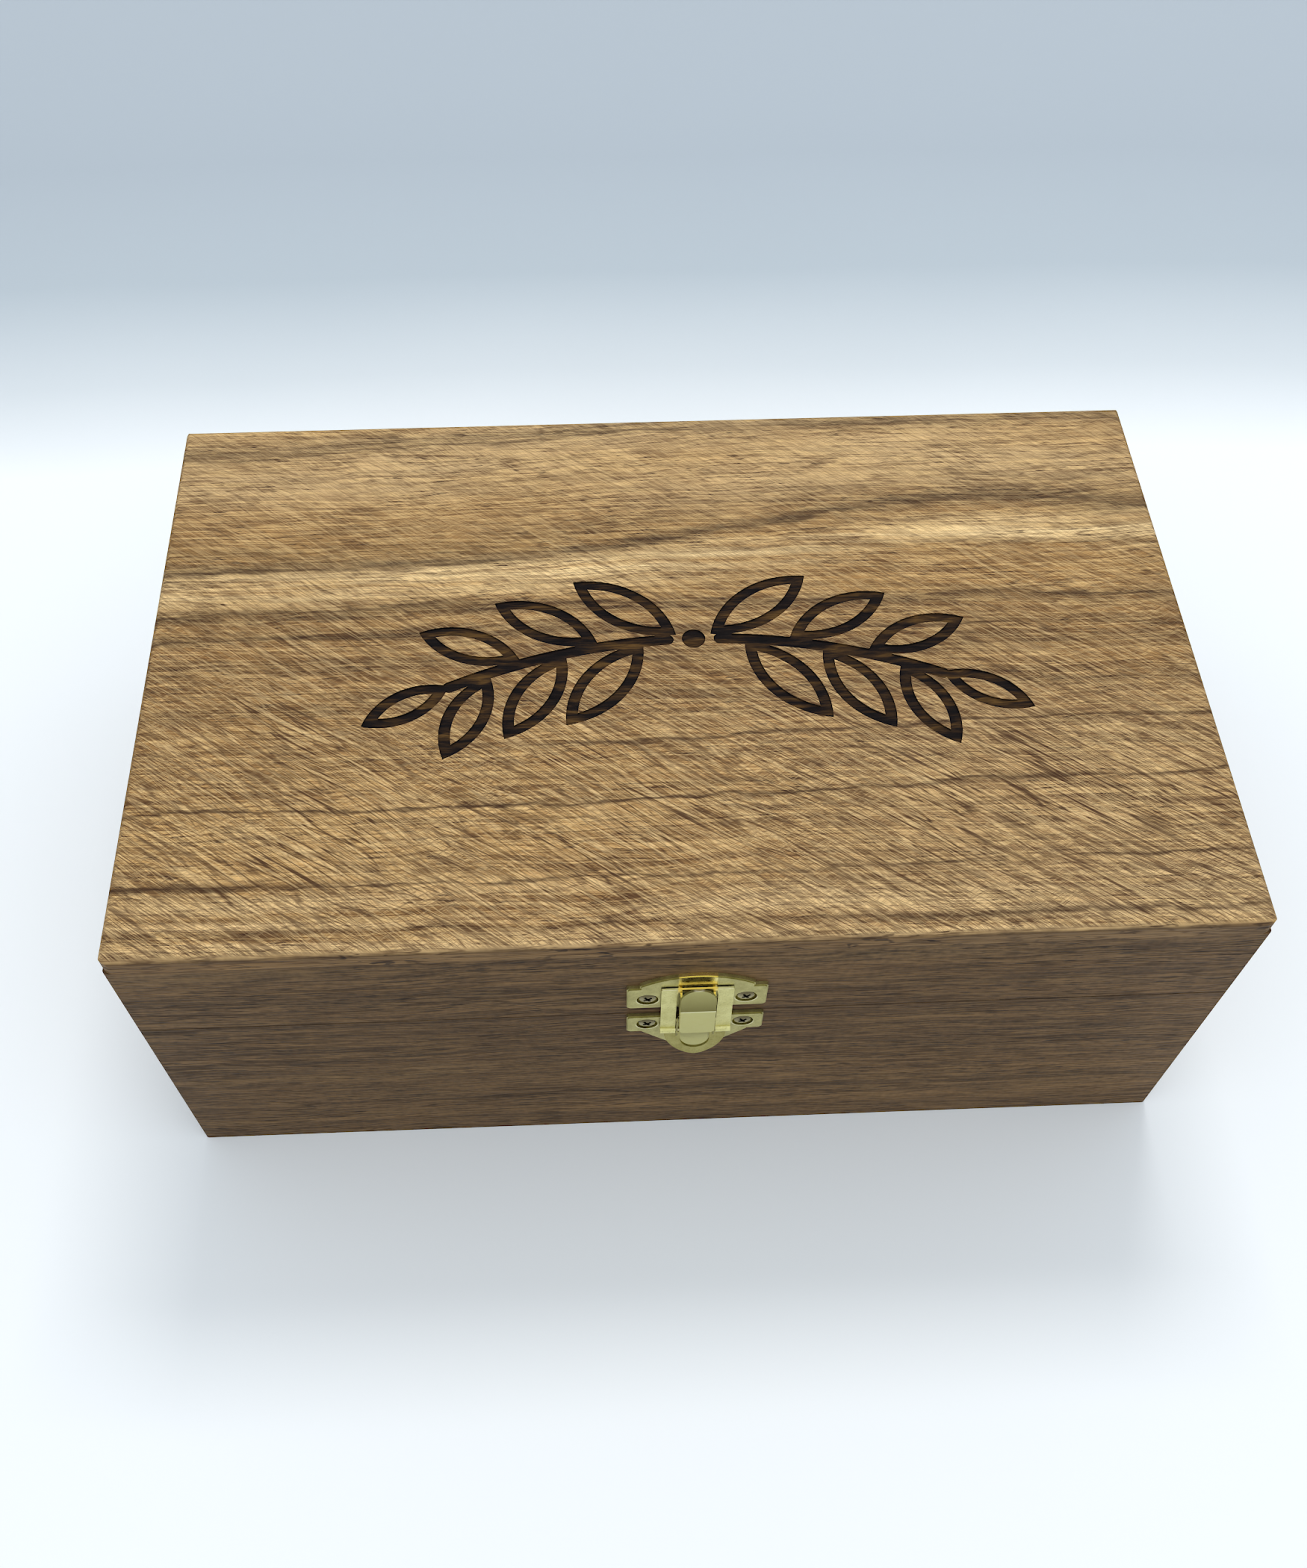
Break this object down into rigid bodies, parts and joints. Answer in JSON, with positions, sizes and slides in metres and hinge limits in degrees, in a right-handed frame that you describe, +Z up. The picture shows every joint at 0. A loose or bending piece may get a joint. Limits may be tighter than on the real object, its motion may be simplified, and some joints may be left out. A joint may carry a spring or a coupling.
{
  "type": "keepsake box",
  "caption": "Rectangular wooden keepsake box with a full-width flat lid hinged at the back, a plated toggle catch on the front and a burnt-in leafy sprig on top.",
  "frame": {"origin": "on the surface the box stands on, under the middle of its wooden body", "axes": "+X to the right seen from the front, front face with the catch towards -Y, +Z up"},
  "size_m": [0.24, 0.1614, 0.096],
  "materials": {
    "wood_top": "bare sawn hardwood, light brown with darker bands",
    "wood_body": "bare hardwood, grey-brown with fine level grain",
    "wood_inner": "bare smooth panel",
    "plated_brass": "pale brass plating on pressed sheet, satin",
    "screw_metal": "dull brass-tinted steel"
  },
  "bodies": {
    "base": {"base_front_board": "wood_body", "base_back_board": "wood_body", "base_left_board": "wood_body", "base_right_board": "wood_body", "base_bottom_panel": "wood_inner", "catch_base_plate": "plated_brass", "catch_base_screws": "screw_metal", "catch_lever_pin": "screw_metal", "hinge_left_base_leaf": "plated_brass", "hinge_right_base_leaf": "plated_brass", "hinge_left_pin": "screw_metal", "hinge_right_pin": "screw_metal", "hinge_base_screws": "screw_metal"},
    "lid": {"lid_front_board": "wood_body", "lid_back_board": "wood_body", "lid_left_board": "wood_body", "lid_right_board": "wood_body", "lid_top_board": "wood_top", "catch_keeper": "plated_brass", "catch_keeper_screws": "screw_metal", "hinge_left_lid_leaf": "plated_brass", "hinge_right_lid_leaf": "plated_brass", "hinge_lid_screws": "screw_metal"},
    "lever": {"catch_lever": "plated_brass", "catch_loop_pin": "screw_metal"},
    "loop": {"catch_loop": "plated_brass"}
  },
  "joints": [
    {"name": "lid_hinge", "type": "hinge", "parent": "base", "child": "lid", "pos_m": [0, 0.0776, 0.064], "axis": [-1, 0, 0], "range_deg": [0, 95]},
    {"name": "lever_pivot", "type": "hinge", "parent": "base", "child": "lever", "pos_m": [0.0015, -0.0782, 0.0646], "axis": [-1, 0, 0], "range_deg": [0, 90]},
    {"name": "loop_pivot", "type": "hinge", "parent": "lever", "child": "loop", "pos_m": [0.0015, -0.0781, 0.0596], "axis": [-1, 0, 0], "range_deg": [-74, 0]}
  ],
  "couplings": [
    {"joint": "loop_pivot", "follows": "lever_pivot", "ratio": -0.82}
  ]
}
